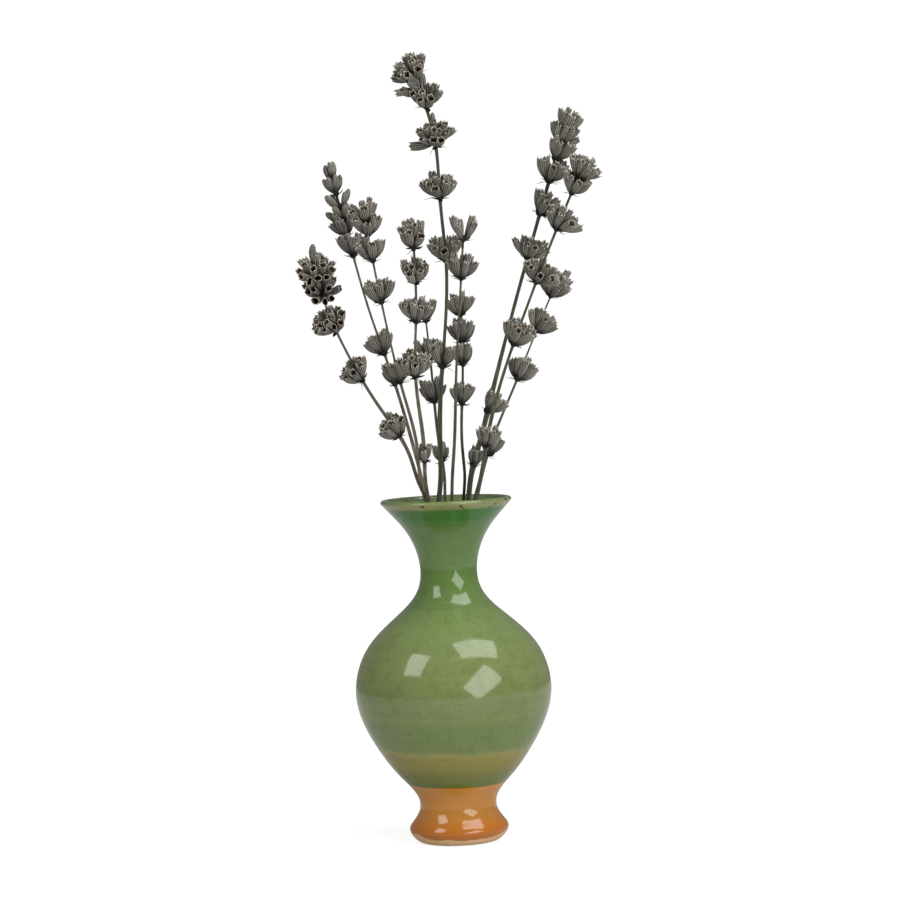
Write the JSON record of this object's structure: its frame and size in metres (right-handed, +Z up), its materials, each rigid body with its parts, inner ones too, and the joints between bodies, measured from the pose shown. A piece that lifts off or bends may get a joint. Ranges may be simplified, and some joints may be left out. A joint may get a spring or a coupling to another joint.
{
  "type": "bud vase",
  "caption": "Turned ceramic bud vase with a narrow neck, flared lip and rolled foot, holding loose sprigs of dried lavender that lift out.",
  "frame": {"origin": "middle of the vase's flat unglazed base, on the surface it stands on", "axes": "+Z up along the vase's turning axis, +X to the right and +Y away from the front"},
  "size_m": [0.0872, 0.0622, 0.2267],
  "materials": {
    "glazed_ceramic": "gloss",
    "green_stem": "satin",
    "brown_stem": "matte",
    "dried_flower": "matte"
  },
  "bodies": {
    "vase": {"vase_body": "glazed_ceramic"},
    "sprig_01": {"sprig_01_stem": "brown_stem", "sprig_01_tip": "dried_flower", "sprig_01_whorl_1": "dried_flower", "sprig_01_whorl_2": "dried_flower", "sprig_01_whorl_3": "dried_flower"},
    "sprig_02": {"sprig_02_stem": "brown_stem", "sprig_02_tip": "dried_flower", "sprig_02_whorl_1": "dried_flower", "sprig_02_whorl_2": "dried_flower", "sprig_02_whorl_3": "dried_flower"},
    "sprig_03": {"sprig_03_stem": "brown_stem", "sprig_03_tip": "dried_flower", "sprig_03_whorl_1": "dried_flower", "sprig_03_whorl_2": "dried_flower", "sprig_03_whorl_3": "dried_flower"},
    "sprig_04": {"sprig_04_stem": "brown_stem", "sprig_04_tip": "dried_flower", "sprig_04_whorl_1": "dried_flower", "sprig_04_whorl_2": "dried_flower", "sprig_04_whorl_3": "dried_flower", "sprig_04_whorl_4": "dried_flower"},
    "sprig_05": {"sprig_05_stem": "green_stem", "sprig_05_tip": "dried_flower", "sprig_05_whorl_1": "dried_flower", "sprig_05_whorl_2": "dried_flower", "sprig_05_whorl_3": "dried_flower"},
    "sprig_06": {"sprig_06_stem": "green_stem", "sprig_06_tip": "dried_flower", "sprig_06_whorl_1": "dried_flower", "sprig_06_whorl_2": "dried_flower", "sprig_06_whorl_3": "dried_flower", "sprig_06_whorl_4": "dried_flower"},
    "sprig_07": {"sprig_07_stem": "green_stem", "sprig_07_tip": "dried_flower", "sprig_07_whorl_1": "dried_flower"},
    "sprig_08": {"sprig_08_stem": "green_stem", "sprig_08_tip": "dried_flower", "sprig_08_whorl_1": "dried_flower", "sprig_08_whorl_2": "dried_flower", "sprig_08_whorl_3": "dried_flower"},
    "sprig_09": {"sprig_09_stem": "green_stem", "sprig_09_tip": "dried_flower", "sprig_09_whorl_1": "dried_flower", "sprig_09_whorl_2": "dried_flower", "sprig_09_whorl_3": "dried_flower", "sprig_09_whorl_4": "dried_flower", "sprig_09_whorl_5": "dried_flower"},
    "sprig_10": {"sprig_10_stem": "green_stem", "sprig_10_tip": "dried_flower", "sprig_10_whorl_1": "dried_flower", "sprig_10_whorl_2": "dried_flower", "sprig_10_whorl_3": "dried_flower", "sprig_10_whorl_4": "dried_flower"},
    "sprig_11": {"sprig_11_stem": "green_stem", "sprig_11_tip": "dried_flower", "sprig_11_whorl_1": "dried_flower", "sprig_11_whorl_2": "dried_flower", "sprig_11_whorl_3": "dried_flower"}
  },
  "joints": [
    {"name": "sprig_01_lift", "type": "slide", "parent": "vase", "child": "sprig_01", "axis": [-0.3853, -0.2145, 0.8975], "range_m": [0, 0.092]},
    {"name": "sprig_02_lift", "type": "slide", "parent": "vase", "child": "sprig_02", "axis": [-0.1012, 0.1157, 0.9881], "range_m": [0, 0.092]},
    {"name": "sprig_03_lift", "type": "slide", "parent": "vase", "child": "sprig_03", "axis": [-0.2413, -0.0284, 0.97], "range_m": [0, 0.092]},
    {"name": "sprig_04_lift", "type": "slide", "parent": "vase", "child": "sprig_04", "axis": [-0.1151, -0.3086, 0.9442], "range_m": [0, 0.092]},
    {"name": "sprig_05_lift", "type": "slide", "parent": "vase", "child": "sprig_05", "axis": [0.0373, 0.2893, 0.9565], "range_m": [0, 0.092]},
    {"name": "sprig_06_lift", "type": "slide", "parent": "vase", "child": "sprig_06", "axis": [0.1329, 0.0387, 0.9904], "range_m": [0, 0.092]},
    {"name": "sprig_07_lift", "type": "slide", "parent": "vase", "child": "sprig_07", "axis": [0.0584, -0.0438, 0.9973], "range_m": [0, 0.092]},
    {"name": "sprig_08_lift", "type": "slide", "parent": "vase", "child": "sprig_08", "axis": [0.1019, 0.0243, 0.9945], "range_m": [0, 0.092]},
    {"name": "sprig_09_lift", "type": "slide", "parent": "vase", "child": "sprig_09", "axis": [0.1401, 0.0097, 0.9901], "range_m": [0, 0.092]},
    {"name": "sprig_10_lift", "type": "slide", "parent": "vase", "child": "sprig_10", "axis": [0.2997, -0.1291, 0.9453], "range_m": [0, 0.092]},
    {"name": "sprig_11_lift", "type": "slide", "parent": "vase", "child": "sprig_11", "axis": [0.2471, 0.2425, 0.9381], "range_m": [0, 0.092]}
  ]
}
